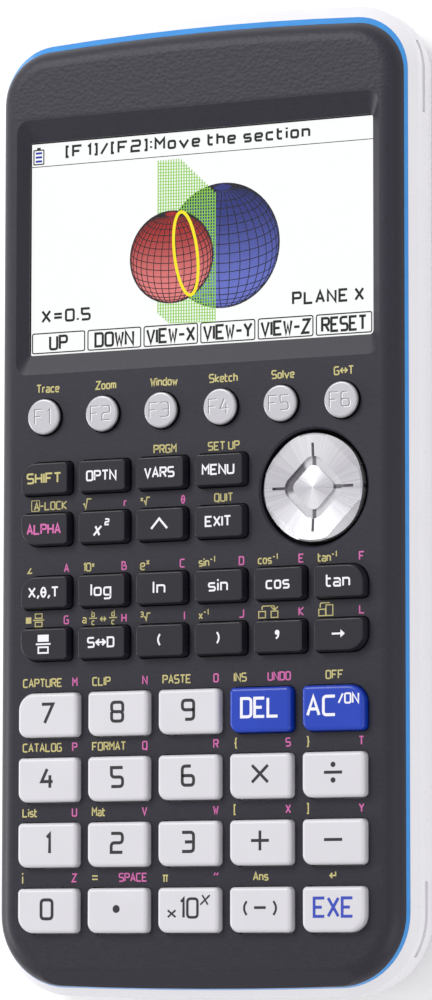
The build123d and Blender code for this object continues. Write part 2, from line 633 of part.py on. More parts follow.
def main_board():
    """Circuit board with its chips, ports, restart switch and the cursor's two pivot posts."""
    board = block(-BOARD_HALF_WIDTH, BOARD_HALF_WIDTH, -BOARD_END, BOARD_END,
                  BOARD_Z, BOARD_TOP_Z, 6.0)
    for cut in board_holes():
        board -= cut
    under = BOARD_Z
    beside_bay = (BAY_HALF_WIDTH + BAY_WALL + BOARD_HALF_WIDTH) / 2
    chips = [
        (2, -22, 14, 14, 1.4), (-18, -22, 12, 8, 1.1), (20, -24, 10, 7, 1.1),
        (-6, -58, 9, 9, 1.0), (26, 2, 8, 5, 1.5), (14, -58, 5, 3, 1.3),
        (beside_bay, 50, 6, 8, 1.2), (-beside_bay, 60, 6, 6, 1.8),
        (-beside_bay, 44, 5, 3, 1.6), (beside_bay, 34, 4, 4, 1.6),
    ]
    for x, y, width, depth, height in chips:
        board += block(x - width / 2, x + width / 2, y - depth / 2, y + depth / 2,
                       under - height, under)
    board += block(RESTART_X - 2.0, RESTART_X + 2.0, RESTART_Y - 1.6, RESTART_Y + 1.6,
                   under - RESTART_SWITCH, under)

    shell_front = BODY_LENGTH / 2 - 2.2
    width, depth, height = USB_SHELL
    usb = block(USB_X - width / 2, USB_X + width / 2, shell_front - depth, shell_front,
                under - height, under)
    usb -= block(USB_X - width / 2 + USB_WALL, USB_X + width / 2 - USB_WALL,
                 shell_front - depth + 1, shell_front, under - height + USB_WALL, under - USB_WALL)
    usb += block(USB_X - 2.6, USB_X + 2.6, shell_front - depth + 1, shell_front - 1.0,
                 under - height / 2 - 0.4, under - height / 2 + 0.4)
    board += usb

    width, height = JACK_BODY
    jack_front = BOARD_END + 0.6
    jack_back = BAY_TOP_Y + BAY_WALL + 0.6
    jack_z = under - height / 2
    jack = block(JACK_X - width / 2, JACK_X + width / 2, jack_back, jack_front,
                 under - height, under)
    collar_end = BODY_LENGTH / 2 - 1.2
    collar = Pos(JACK_X, (jack_front + collar_end) / 2, jack_z) * Rot(90, 0, 0) * Cylinder(
        JACK_COLLAR, collar_end - jack_front)
    bore = Pos(JACK_X, collar_end - 5.5, jack_z) * Rot(90, 0, 0) * Cylinder(JACK_BORE, 11.0)
    board += jack + collar
    board -= bore

    for side in (-1, 1):
        post = lug(side, BOARD_TOP_Z, GIMBAL_Z + GIMBAL_LUG_WIDTH / 2 - 0.3, "x")
        board += Pos(CURSOR_X, CURSOR_Y, 0) * post
    return board


def keypad_mat():
    """Rubber mat with a contact dome under each key and a clear hole round the cursor's pivot."""
    mat = block(-MAT_HALF_WIDTH, MAT_HALF_WIDTH, MAT_BOTTOM_Y, MAT_TOP_Y, MAT_Z, MAT_TOP_Z, 3.0)
    mat -= rod(CURSOR_X, CURSOR_Y, GIMBAL_PIN_REACH + 1.2, MAT_Z, MAT_TOP_Z)
    for x, y in screw_places():
        mat -= rod(x, y, BOARD_NOTCH, MAT_Z, MAT_TOP_Z)
    height = KEY_FOOT_Z - KEY_TRAVEL - DOME_GAP - MAT_TOP_Z
    dome = Cone(DOME_BASE, DOME_TOP, height, align=(Align.CENTER, Align.CENTER, Align.MIN))
    for _, kind, x, y, _ in key_places():
        mat += Pos(x, y, MAT_TOP_Z) * dome
    swing = CURSOR_DIAMETER / 2 * sin(radians(6))
    height = CURSOR_FOOT_Z - swing - MAT_TOP_Z
    small = Cone(1.6, 1.1, height, align=(Align.CENTER, Align.CENTER, Align.MIN))
    for quarter in range(4):
        angle = radians(45 + 90 * quarter)
        reach = CURSOR_DIAMETER / 2 - 1.6
        mat += Pos(CURSOR_X + reach * cos(angle), CURSOR_Y + reach * sin(angle), MAT_TOP_Z) * small
    return mat


def case_screws():
    """Six cross-head screws driven from the back into the front bosses."""
    screws = []
    radius, height = SCREW_HEAD
    for x, y in screw_places():
        head = rod(x, y, radius, SCREW_WELL[1] - height, SCREW_WELL[1])
        head -= block(x - 1.1, x + 1.1, y - 0.2, y + 0.2, 0, SCREW_WELL[1] - height + 0.5)
        head -= block(x - 0.2, x + 0.2, y - 1.1, y + 1.1, 0, SCREW_WELL[1] - height + 0.5)
        screws.append(head + rod(x, y, SCREW_RADIUS, SCREW_WELL[1], SCREW_WELL[1] + SCREW_LENGTH - 0.3))
    return Compound(children=screws)


def reset_button():
    """Plunger behind the restart pinhole, with the flange that keeps it in."""
    top = BOARD_Z - RESTART_SWITCH - RESTART_TRAVEL - 0.1
    pin = rod(RESTART_X, RESTART_Y, RESTART_PIN, 0.6, top)
    radius, height = RESTART_FLANGE
    return pin + rod(RESTART_X, RESTART_Y, radius, REAR_WALL + 0.05, REAR_WALL + 0.05 + height)


# ---- all nodes ----------------------------------------------------------------------
os.makedirs("parts", exist_ok=True)
nodes = {
    "front_case": front_case(),
    "display_window": display_window(),
    "lcd_panel": lcd_panel(),
    "trim_band": trim_band(),
    "rear_case": rear_case(),
    "battery_cover": battery_cover(),
    "batteries": batteries(),
    "battery_contacts": battery_contacts(),
    "main_board": main_board(),
    "keypad_mat": keypad_mat(),
    "case_screws": case_screws(),
    "reset_button": reset_button(),
    "cursor_disc": cursor_disc(),
    "cursor_pivot": cursor_pivot(),
}
for name, kind, x, y, big_corner in key_places():
    nodes[name] = key(kind, x, y, big_corner)
for name, shape in nodes.items():
    export_step(shape, f"parts/{name}.step")
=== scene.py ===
from math import cos, pi, radians, sin

import bmesh
import bpy
from mathutils import Euler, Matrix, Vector


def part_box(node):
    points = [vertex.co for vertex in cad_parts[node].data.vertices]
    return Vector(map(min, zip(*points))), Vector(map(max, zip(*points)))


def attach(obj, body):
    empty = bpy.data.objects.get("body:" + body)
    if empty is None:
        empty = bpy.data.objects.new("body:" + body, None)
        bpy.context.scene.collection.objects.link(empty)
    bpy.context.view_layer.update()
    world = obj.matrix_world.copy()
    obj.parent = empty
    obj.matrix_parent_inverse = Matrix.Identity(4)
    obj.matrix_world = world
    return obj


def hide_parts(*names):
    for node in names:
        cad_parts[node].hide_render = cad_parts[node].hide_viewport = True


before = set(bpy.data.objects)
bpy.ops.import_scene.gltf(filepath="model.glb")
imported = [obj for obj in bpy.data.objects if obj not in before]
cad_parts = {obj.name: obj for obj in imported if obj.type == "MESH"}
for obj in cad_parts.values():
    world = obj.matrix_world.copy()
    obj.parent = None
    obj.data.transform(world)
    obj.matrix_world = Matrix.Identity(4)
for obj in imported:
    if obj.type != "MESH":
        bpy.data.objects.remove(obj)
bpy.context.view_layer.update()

# ---- Camera ----
# A long lens looks down on the key face from the right of the object, a little from the key end,
# with the object's length upright in the picture.
MM = 0.001
CAMERA_PLACE = Vector((401.9, -89.7, 815.2)) * MM
CAMERA_TURN = (5.651, 26.463, 0.060)
LENS = 170.08

camera_data = bpy.data.cameras.new("camera")
camera_data.lens = LENS
camera_data.shift_x = 0.00183
camera_data.shift_y = 0.00896
camera_data.clip_start = 0.01
camera = bpy.data.objects.new("camera", camera_data)
camera.location = CAMERA_PLACE
camera.rotation_euler = Euler([radians(turn) for turn in CAMERA_TURN])
bpy.context.scene.collection.objects.link(camera)
bpy.context.scene.camera = camera


# ---- Finishes ----
# Every finish of the object is built from noise and masks over its own coordinates.
class Wire:
    """One shader socket; operators between wires and numbers add Math nodes."""

    def __init__(self, tree, socket):
        self.tree = tree
        self.socket = socket

    def make(self, kind, settings=None, inputs=None, output=0):
        """Adds a node: its settings first, then the values or links of its sockets."""
        node = self.tree.nodes.new(kind)
        for key, value in (settings or {}).items():
            setattr(node, key, value)
        for key, value in (inputs or {}).items():
            if isinstance(value, Wire):
                self.tree.links.new(value.socket, node.inputs[key])
            else:
                node.inputs[key].default_value = value
        return Wire(self.tree, node.outputs[output])

    def maths(self, operation, *others):
        values = dict(enumerate((self, *others)))
        return self.make("ShaderNodeMath", {"operation": operation}, values)

    def __add__(self, other):
        return self.maths("ADD", other)

    __radd__ = __add__

    def __sub__(self, other):
        return self.maths("SUBTRACT", other)

    def __rsub__(self, other):
        return (self * -1) + other

    def __mul__(self, other):
        return self.maths("MULTIPLY", other)

    __rmul__ = __mul__

    def __truediv__(self, other):
        return self.maths("DIVIDE", other)

    def axis(self, name):
        """X, Y or Z of a vector, in millimetres."""
        return self.make("ShaderNodeSeparateXYZ", None, {0: self}, "XYZ".index(name)) * 1000

    def step(self, low, high):
        """Smooth mask: 0 below low, 1 above high."""
        return self.make("ShaderNodeMapRange", {"interpolation_type": "SMOOTHSTEP"},
                         {0: self, 1: low, 2: high})

    def stretch(self, x, y, z):
        """Coordinates scaled for a pattern, given in cells per millimetre."""
        return self.make("ShaderNodeMapping", None, {0: self, "Scale": (1000 * x, 1000 * y, 1000 * z)})

    def noise(self, detail=2.0, rough=0.5):
        return self.make("ShaderNodeTexNoise", None,
                         {"Vector": self, "Scale": 1.0, "Detail": detail, "Roughness": rough})

    def tint(self, low, high):
        """Colour between low and high by this mask."""
        return self.make("ShaderNodeMix", {"data_type": "RGBA"}, {0: self, 6: low, 7: high}, 2)

    def bump(self, strength, distance):
        return self.make("ShaderNodeBump", None,
                         {"Height": self, "Strength": strength, "Distance": distance * MM})


def rgb(red, green, blue):
    """Linear colour of a display colour given from 0 to 255."""
    linear = []
    for value in (red, green, blue):
        value = value / 255
        linear.append(value / 12.92 if value <= 0.04045 else ((value + 0.055) / 1.055) ** 2.4)
    return (*linear, 1.0)


def finish(name, links=None, **constants):
    """New material: constants set sockets directly, links(coordinates) returns the varying ones."""
    material = bpy.data.materials.new(name)
    material.use_nodes = True
    tree = material.node_tree
    shader = tree.nodes["Principled BSDF"]
    for key, value in constants.items():
        shader.inputs[key.replace("_", " ")].default_value = value
    if links:
        places = Wire(tree, tree.nodes.new("ShaderNodeTexCoord").outputs["Object"])
        for key, wire in links(places).items():
            tree.links.new(wire.socket, shader.inputs[key])
    return material


def dress(material, *nodes):
    """Gives carried-over pieces their finish."""
    for name in nodes:
        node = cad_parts[name]
        node.data.materials.clear()
        node.data.materials.append(material)


# ---- Floor and light ----
# A plain pale floor, a soft even sky, a large key light from the upper left and a soft fill.
floor_mesh = bpy.data.meshes.new("floor")
reach = 3.0
floor_mesh.from_pydata([(-reach, -reach, 0), (reach, -reach, 0), (reach, reach, 0), (-reach, reach, 0)],
                       [], [(0, 1, 2, 3)])
floor_piece = bpy.data.objects.new("floor", floor_mesh)
bpy.context.scene.collection.objects.link(floor_piece)
floor_mesh.materials.append(finish(
    "floor_paper",
    lambda p: {"Base Color": p.stretch(0.02, 0.02, 0.02).noise().tint(
        rgb(250, 250, 251), rgb(253, 253, 253))},
    Roughness=0.9))

world = bpy.data.worlds.new("studio")
world.use_nodes = True
world.node_tree.nodes["Background"].inputs["Color"].default_value = (1.0, 0.99, 1.0, 1)
world.node_tree.nodes["Background"].inputs["Strength"].default_value = 0.72
bpy.context.scene.world = world
bpy.context.scene.view_settings.view_transform = "Standard"


def softbox(name, place, aim, size, power):
    """Square area light turned to face its aim."""
    light = bpy.data.lights.new(name, "AREA")
    light.size = size
    light.energy = power
    lamp = bpy.data.objects.new(name, light)
    lamp.location = place
    lamp.rotation_euler = (Vector(aim) - Vector(place)).to_track_quat("-Z", "Y").to_euler()
    bpy.context.scene.collection.objects.link(lamp)


softbox("key_light", (-0.55, 0.75, 0.95), (0, 0, 0), 0.6, 8.5)
softbox("fill_light", (0.9, -0.5, 0.6), (0, 0, 0), 0.8, 2.5)
softbox("edge_light", (-0.8, -0.1, 0.3), (0, 0, 0), 0.3, 2)

# ---- Front cover ----
# Moulded black ABS with a satin face, very fine cross grain, and a pebbled panel above the display.
FACE_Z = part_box("display_window")[1][2] / MM + 2.0
RECESS_TOP_Y = 76.05
RECESS_SIDE_X = 38.8


def cover_links(places):
    grain = places.stretch(1.2, 6.0, 4.0).noise(3.0, 0.6)
    cells = places.stretch(1.15, 1.35, 0.4)
    pebble = cells.make("ShaderNodeTexVoronoi", {"feature": "SMOOTH_F1"},
                        {"Vector": cells, "Scale": 1.0, "Smoothness": 0.25, "Randomness": 0.85})
    above = places.axis("Y").step(RECESS_TOP_Y, RECESS_TOP_Y + 0.5)
    beside = (places.axis("X").maths("ABSOLUTE").step(RECESS_SIDE_X, RECESS_SIDE_X + 0.5)
              * places.axis("Y").step(15.0, 45.0) * 0.5)
    head = above.maths("MAXIMUM", beside) * places.axis("Z").step(FACE_Z - 1.2, FACE_Z - 0.3)
    height = grain * 0.08 + (1 - pebble) * head * 0.6
    return {
        "Base Color": (grain.step(0.3, 0.7) * 0.6 + head * pebble * 0.6).tint(
            rgb(30, 28, 38), rgb(43, 41, 54)),
        "Roughness": grain * 0.12 + 0.36 + head * 0.06,
        "Normal": height.bump(0.7, 0.13),
    }


cover_black = finish("cover_black", cover_links, Specular_IOR_Level=0.38)
dress(cover_black, "front_case")


# ---- Printed strokes ----
# Legends are pad-printed. Each letter is a few strokes on a grid: x 0 to 4, baseline 2, capitals to 8.
# A leading ! keeps all of a stroke's corners sharp, a dot keeps one sharp, and a trailing * closes it.
GLYPHS = {
    "0": "42-48-08-02*", "1": "!17-28-22", "2": "08-48-45-05-02.-42", "3": "08-48-42-02 !15-45",
    "4": "!28-04-44 !36-32", "5": "48-08.-05-45-42-02", "6": "38-08-02-42-45-05", "7": "!08-48-12",
    "8": "45-48-08-05-45-42-02-05", "9": "45-05-08-48-42-12",
    "A": "!02-28-42 !14-34", "B": "05-35-38-08.-02.-42-45-35", "C": "48-08-02-42",
    "D": "08.-48-42-02.*", "E": "!48-08-02-42 !05-35", "F": "!48-08-02 !05-35",
    "G": "48-08-02-42-45-25", "H": "!02-08 !42-48 !05-45", "I": "!02-08", "J": "48-42-02",
    "K": "!02-08 !48-05-42", "L": "!08-02-42", "M": "!02-08-25-48-42", "N": "!02-08-42-48",
    "O": "42-48-08-02*", "P": "02-08.-48-45-05", "Q": "42-48-08-02* !33-41",
    "R": "02-08.-48-45-05 !25-42", "S": "48-08-05-45-42-02", "T": "!08-48 !28-22",
    "U": "08-02-42-48", "V": "!08-22-48", "W": "!08-12-26-32-48", "X": "!02-48 !08-42",
    "Y": "!08-25-48 !25-22", "Z": "!08-48-02-42",
    "a": "06-36-32.-02-04-34", "b": "08-02.-32-36-06", "c": "36-06-02-32", "d": "38-32.-02-06-36",
    "e": "04-34-36-06-02-32", "g": "32-02-06-36.-30-00", "h": "!08-02 06-36-32", "i": "!02-06 !07-08",
    "k": "!08-02 !36-04-32", "l": "!08-02", "m": "02-06.-26-22 26-46-42", "n": "02-06.-36-32",
    "o": "32-36-06-02*", "p": "00-06.-36-32-02", "r": "!02-06 05-06-26", "s": "36-06-04-34-32-02",
    "t": "08-02-22 !06-26", "u": "06-02-32.-36", "v": "!06-22-46", "w": "!06-12-25-32-46",
    "x": "!06-32 !36-02", "z": "!06-36-02-32",
    "-": "!05-35", "+": "!05-45 !27-23", "=": "!06-46 !04-44", "(": "18-06-04-12", ")": "08-16-14-02",
    "[": "!18-08-02-12", "]": "!08-18-12-02", "{": "28-18-15-05 15-12-22", "}": "08-18-15-25 15-12-02",
    ",": "!13-01", ".": "!02-03", ":": "!03-04 !06-07", "/": "!02-38", "'": "!18-06",
    "√": "!05-15-22-38-68", "θ": "12-04-06-18-28-36-34-22* !05-35", "π": "!06-46 !16-12 !36-32",
    "∠": "!36-02-42", "←": "!58-55-05 !27-05-23", "↔": "!05-65 !27-05-23 !47-65-43",
    "×": "!03-47 !07-43",
}
STROKE_CORNER = 1.15
INK_DEPTH = 0.02


def rounded(points, radius, closed, sharp=()):
    """Polyline with its inner corners, apart from those in sharp, replaced by short arcs of points."""
    if radius <= 0:
        return points
    result = []
    count = len(points)
    for index, corner in enumerate(points):
        if index in sharp or (not closed and index in (0, count - 1)):
            result.append(corner)
            continue
        before = points[index - 1] - corner
        after = points[(index + 1) % count] - corner
        cut = min(radius, before.length * 0.48, after.length * 0.48)
        start = corner + before.normalized() * cut
        end = corner + after.normalized() * cut
        for part in range(5):
            t = part / 4
            result.append(start * (1 - t) ** 2 + corner * 2 * t * (1 - t) + end * t ** 2)
    return result


class Print:
    """Gathers thin closed strips on flat levels and makes them one piece."""

    def __init__(self):
        self.mesh = bmesh.new()
        self.lift = 0

    def strip(self, left, right, z, closed):
        """Closed strip between two lines of points, INK_DEPTH thick, its foot at z."""
        rings = []
        for a, b in zip(left, right):
            rings.append([self.mesh.verts.new(Vector((p.x, p.y, h)) * MM)
                          for p, h in ((a, z), (b, z), (b, z + INK_DEPTH), (a, z + INK_DEPTH))])
        count = len(rings)
        for index in range(count if closed else count - 1):
            one, two = rings[index], rings[(index + 1) % count]
            for side in range(4):
                other = (side + 1) % 4
                self.mesh.faces.new((one[side], one[other], two[other], two[side]))
        if not closed:
            self.mesh.faces.new(rings[0][::-1])
            self.mesh.faces.new(rings[-1])

    def line(self, points, width, z, corner=0.0, closed=False, sharp=()):
        """Stroke of the given width along points, mitred at its corners."""
        points = rounded([Vector(p) for p in points], corner, closed, sharp)
        points = [p for i, p in enumerate(points) if i == 0 or (p - points[i - 1]).length > 1e-4]
        count = len(points)
        left, right = [], []
        for index, point in enumerate(points):
            ahead = points[(index + 1) % count] - point if closed or index < count - 1 else None
            behind = point - points[index - 1] if closed or index > 0 else None
            ahead = (ahead or behind).normalized()
            behind = (behind or ahead).normalized()
            side = Vector((-(ahead + behind).y, (ahead + behind).x))
            side = side.normalized() if side.length > 1e-6 else Vector((-ahead.y, ahead.x))
            lean = max(side.dot(Vector((-ahead.y, ahead.x))), 0.45)
            left.append(point + side * width / 2 / lean)
            right.append(point - side * width / 2 / lean)
        self.lift = (self.lift + 1) % 4
        self.strip(left, right, z + self.lift * 0.002, closed)

    def patch(self, points, z):
        """Filled outline, INK_DEPTH thick."""
        foot = [self.mesh.verts.new(Vector((x, y, z)) * MM) for x, y in points]
        head = [self.mesh.verts.new(Vector((x, y, z + INK_DEPTH)) * MM) for x, y in points]
        self.mesh.faces.new(foot[::-1])
        self.mesh.faces.new(head)
        for index in range(len(points)):
            other = (index + 1) % len(points)
            self.mesh.faces.new((foot[index], foot[other], head[other], head[index]))

    def disc(self, x, y, radius, z, sides=40):
        turns = [2 * pi * side / sides for side in range(sides)]
        self.patch([(x + radius * cos(turn), y + radius * sin(turn)) for turn in turns], z)

    def text(self, words, x, y, z, height, width, align="left", squeeze=1.0, span=None, slant=0.0,
             gap=1.5):
        """Letters of a given full height, squeezed to span if given; ^ raises the next one."""
        placed = []
        pen = 0.0
        small = False
        for letter in words:
            if letter == "^":
                small = True
                continue
            if letter == " ":
                pen += 2.2
                continue
            scale = 0.62 if small else 1.0
            small = False
            strokes = GLYPHS[letter if letter in GLYPHS else letter.upper()].split()
            reach_x = max(int(pair[0]) for stroke in strokes for pair in stroke.strip("!*").split("-"))
            placed.append((strokes, pen, scale))
            pen += (reach_x + gap) * scale
        unit = (height - width) / 6
        if span:
            squeeze = (span - width) / ((pen - gap) * unit)
        length = (pen - gap) * unit * squeeze
        start = {"left": x + width / 2, "center": x - length / 2, "right": x - width / 2 - length}[align]
        for strokes, at, scale in placed:
            for stroke in strokes:
                pairs = stroke.strip("!*").split("-")
                sharp = [index for index, pair in enumerate(pairs) if stroke[0] == "!" or pair[-1] == "."]
                points = []
                for pair in pairs:
                    up = (int(pair[1]) - 2) * scale + (3.2 if scale < 1 else 0) - 3
                    across = at + int(pair[0]) * scale
                    points.append((start + (across + up * slant) * unit * squeeze, y + up * unit))
                self.line(points, width * (0.85 if scale < 1 else 1), z, STROKE_CORNER * unit * scale,
                          stroke[-1] == "*", sharp)

    def piece(self, name, material, body):
        """Ends the print: one mesh object that rides on its body."""
        bmesh.ops.recalc_face_normals(self.mesh, faces=self.mesh.faces)
        data = bpy.data.meshes.new(name)
        self.mesh.to_mesh(data)
        self.mesh.free()
        data.materials.append(material)
        made = bpy.data.objects.new(name, data)
        bpy.context.scene.collection.objects.link(made)
        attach(made, body)
        return made


def ink(name, colour):
    """Slightly uneven pad-printing ink."""
    darker = tuple(0.86 * value for value in colour[:3]) + (1,)
    return finish(name, lambda p: {"Base Color": p.stretch(2, 2, 2).noise().tint(darker, colour)},
                  Roughness=0.5)


ink_white = ink("ink_white", rgb(236, 236, 242))
ink_gold = ink("ink_gold", rgb(196, 186, 122))
ink_pink = ink("ink_pink", rgb(208, 100, 168))
ink_dark = ink("ink_dark", rgb(30, 28, 34))
ink_blue = ink("ink_blue", rgb(44, 68, 180))

# ---- Legends on the cover ----
# Second and letter functions are printed on the cover above each key, in gold at its left end and in
# pink at its right end. Six gold names stand over the round keys.
LEGEND_HEIGHT = 1.72
LEGEND_STROKE = 0.27
FACE_INK_Z = FACE_Z + 0.01
GOLD_LEGENDS = {
    "key_square": "√", "key_power": "^x√", "key_variable": " ∠", "key_log": "10^x", "key_ln": "e^x",
    "key_sin": "sin^-^1", "key_cos": "cos^-^1", "key_tan": "tan^-^1", "key_paren_open": "^3√",
    "key_paren_close": "x^-^1", "key_7": "CAPTURE", "key_8": "CLIP", "key_9": "PASTE", "key_4": "CATALOG",
    "key_5": "FORMAT", "key_times": "{", "key_divide": "}", "key_1": "List", "key_2": "Mat",
    "key_plus": "[", "key_minus": "]", "key_0": "i", "key_point": "=", "key_exponent": "π",
    "key_delete": "INS",
}
PINK_LEGENDS = {
    "key_square": "r", "key_power": "θ", "key_delete": "UNDO", "key_point": "SPACE", "key_exponent": "''",
    "key_7": "M", "key_8": "N", "key_9": "O", "key_4": "P", "key_5": "Q", "key_6": "R", "key_times": "S",
    "key_divide": "T", "key_1": "U", "key_2": "V", "key_3": "W", "key_plus": "X", "key_minus": "Y",
    "key_0": "Z", "key_variable": "A", "key_log": "B", "key_ln": "C", "key_sin": "D", "key_cos": "E",
    "key_tan": "F", "key_fraction": "G", "key_convert": "H", "key_paren_open": "I",
    "key_paren_close": "J", "key_comma": "K", "key_arrow": "L",
}
MIDDLE_LEGENDS = {
    "key_vars": ("PRGM", 0.2), "key_menu": ("SET UP", 0.2), "key_alpha": ("A-LOCK", 0.4),
    "key_exit": ("QUIT", 0.2), "key_clear": ("OFF", -0.4), "key_negative": ("Ans", -0.6),
    "key_execute": ("←", -0.8), "key_f1": ("Trace", 0.4), "key_f2": ("Zoom", 0.4),
    "key_f3": ("Window", 0.3), "key_f4": ("Sketch", 0.3), "key_f5": ("Solve", 0.2), "key_f6": ("G↔T", 0.2),
}


def key_centre(name):
    low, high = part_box(name)
    return Vector(((low[0] + high[0]) / 2, (low[1] + high[1]) / 2)) / MM


def key_kind(name):
    """round, dark or white by the node's size."""
    low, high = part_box(name)
    width = (high[0] - low[0]) / MM
    return "round" if width < 9 else "dark" if width < 12.5 else "white"


LEGEND_RISE = {"round": 5.6, "dark": 4.68, "white": 6.3}
TALL_LEGENDS = {"√": 2.2, "i": 2.3, "=": 2.2, "π": 2.1, "{": 2.1, "}": 2.1, "[": 2.1, "]": 2.1, "e^x": 2.1}
LEGEND_LEFT = {"dark": -5.1, "white": -6.25}
LEGEND_RIGHT = {"dark": 4.55, "white": 5.7}
gold = Print()
pink = Print()
for name, legend in GOLD_LEGENDS.items():
    centre = key_centre(name)
    kind = key_kind(name)
    gold.text(legend, centre.x + LEGEND_LEFT[kind], centre.y + LEGEND_RISE[kind], FACE_INK_Z,
              TALL_LEGENDS.get(legend, LEGEND_HEIGHT), LEGEND_STROKE, squeeze=0.93)
for name, legend in PINK_LEGENDS.items():
    centre = key_centre(name)
    kind = key_kind(name)
    pink.text(legend, centre.x + LEGEND_RIGHT[kind], centre.y + LEGEND_RISE[kind], FACE_INK_Z, LEGEND_HEIGHT,
              LEGEND_STROKE, "right", 0.93)
for name, (legend, across) in MIDDLE_LEGENDS.items():
    centre = key_centre(name)
    gold.text(legend, centre.x + across, centre.y + LEGEND_RISE[key_kind(name)], FACE_INK_Z, LEGEND_HEIGHT,
              LEGEND_STROKE, "center", 0.95)
lock = key_centre("key_alpha")
gold.line([(lock.x - 3.75, lock.y + 3.75), (lock.x - 2.0, lock.y + 3.75), (lock.x - 2.0, lock.y + 5.8),
           (lock.x - 3.75, lock.y + 5.8)], 0.16, FACE_INK_Z, 0.2, True)


def small_fraction(mark, x, y, over, under):
    """A letter, a bar and a letter, one above the other."""
    mark.text(over, x, y + 0.85, FACE_INK_Z, 1.3, 0.22, "center")
    mark.line([(x - 0.85, y), (x + 0.85, y)], 0.2, FACE_INK_Z)
    mark.text(under, x, y - 0.7, FACE_INK_Z, 1.3, 0.22, "center")


def small_box(mark, x, y, half_x, half_y):
    mark.line([(x - half_x, y - half_y), (x + half_x, y - half_y), (x + half_x, y + half_y),
               (x - half_x, y + half_y)], 0.22, FACE_INK_Z, 0, True)


x, y = key_centre("key_fraction") + Vector((-4.3, 4.8))
gold.patch([(x - 0.6, y - 0.6), (x + 0.6, y - 0.6), (x + 0.6, y + 0.6), (x - 0.6, y + 0.6)], FACE_INK_Z)
gold.line([(x + 1.0, y), (x + 3.4, y)], 0.22, FACE_INK_Z)
small_box(gold, x + 2.2, y + 0.8, 0.75, 0.42)
small_box(gold, x + 2.2, y - 0.8, 0.75, 0.42)
x, y = key_centre("key_convert") + Vector((-4.6, 4.8))
gold.text("a", x, y - 0.1, FACE_INK_Z, 1.7, 0.25, "center")
small_fraction(gold, x + 1.9, y, "b", "c")
gold.text("↔", x + 4.05, y - 0.2, FACE_INK_Z, 1.5, 0.24, "center", 0.9)
small_fraction(gold, x + 6.2, y, "d", "c")
x, y = key_centre("key_comma") + Vector((-4.2, 4.8))
small_box(gold, x, y - 0.5, 0.7, 0.6)
small_box(gold, x + 2.6, y - 0.5, 0.7, 0.6)
gold.line([(x, y + 0.4), (x, y + 1.1), (x + 2.6, y + 1.1), (x + 2.6, y + 0.5)], 0.24, FACE_INK_Z, 0.5)
gold.line([(x + 1.9, y + 0.9), (x + 2.6, y + 0.3), (x + 3.3, y + 0.9)], 0.24, FACE_INK_Z)
x, y = key_centre("key_arrow") + Vector((-4.2, 4.8))
small_box(gold, x, y - 0.5, 0.7, 0.6)
small_box(gold, x + 1.5, y - 0.1, 0.7, 1.0)
gold.line([(x - 0.4, y + 0.4), (x - 0.4, y + 1.3), (x + 1.6, y + 1.3)], 0.24, FACE_INK_Z, 0.5)
gold.piece("gold_legends", ink_gold, "case")
pink.piece("pink_legends", ink_pink, "case")

# ---- Display ----
# A bright colour module in a black tray, behind a clear acrylic window that is glued in from below.
# It shows two meshed spheres cut by a plane, with a row of six soft-key boxes at its foot.
SCREEN_Y = 50.9
SCREEN_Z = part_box("display_window")[0][2] / MM - 0.32
LAYER = 0.035
SCREEN_HALF = (37.6, 21.5)
SCREEN_MASK = (37.0, -20.8, 20.85)
MASK_WIDTH = 1.0


def glow(name, colour, low_colour=None, span=(0, 1)):
    """Light from the module's face; below span it turns to the second colour."""
    def links(places):
        if low_colour is None:
            dim = tuple(0.97 * value for value in colour[:3]) + (1,)
            return {"Emission Color": places.stretch(6, 6, 6).noise().tint(dim, colour)}
        fall = places.axis("Y").step(SCREEN_Y + span[0], SCREEN_Y + span[1])
        return {"Emission Color": fall.tint(low_colour, colour)}
    return finish(name, links, Base_Color=(0, 0, 0, 1), Roughness=0.4, Emission_Strength=1.06,
                  Specular_IOR_Level=0.1)


def on_screen(x, y):
    return (x, SCREEN_Y + y)


def screen_box(x_from, x_to, y_from, y_to):
    return [on_screen(x_from, y_from), on_screen(x_to, y_from),
            on_screen(x_to, y_to), on_screen(x_from, y_to)]


ground = Print()
ground.patch(screen_box(-SCREEN_HALF[0], SCREEN_HALF[0], -SCREEN_HALF[1], SCREEN_HALF[1]), SCREEN_Z)
ground.piece("screen_ground", glow("screen_white", rgb(252, 252, 252)), "case")

lcd_low, lcd_high = [Vector(corner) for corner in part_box("lcd_panel")]
lcd_high.z = (SCREEN_Z - 0.05) * MM
tray = Print()
bmesh.ops.create_cube(tray.mesh, size=1)
bmesh.ops.scale(tray.mesh, vec=lcd_high - lcd_low, verts=tray.mesh.verts)
bmesh.ops.translate(tray.mesh, vec=(lcd_high + lcd_low) / 2, verts=tray.mesh.verts)
bmesh.ops.bevel(tray.mesh, geom=tray.mesh.edges[:], offset=0.0002, segments=2, affect="EDGES")
lcd_tray = tray.piece(
    "lcd_tray", finish("lcd_frame", lambda p: {
        "Base Color": p.stretch(0.5, 3, 1).noise().tint(rgb(20, 20, 24), rgb(30, 30, 34))},
        Roughness=0.35), "case")
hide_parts("lcd_panel")

screen_black = glow("screen_black", rgb(14, 14, 18))
NET_STROKE = 0.16
NET_TIP = radians(17)


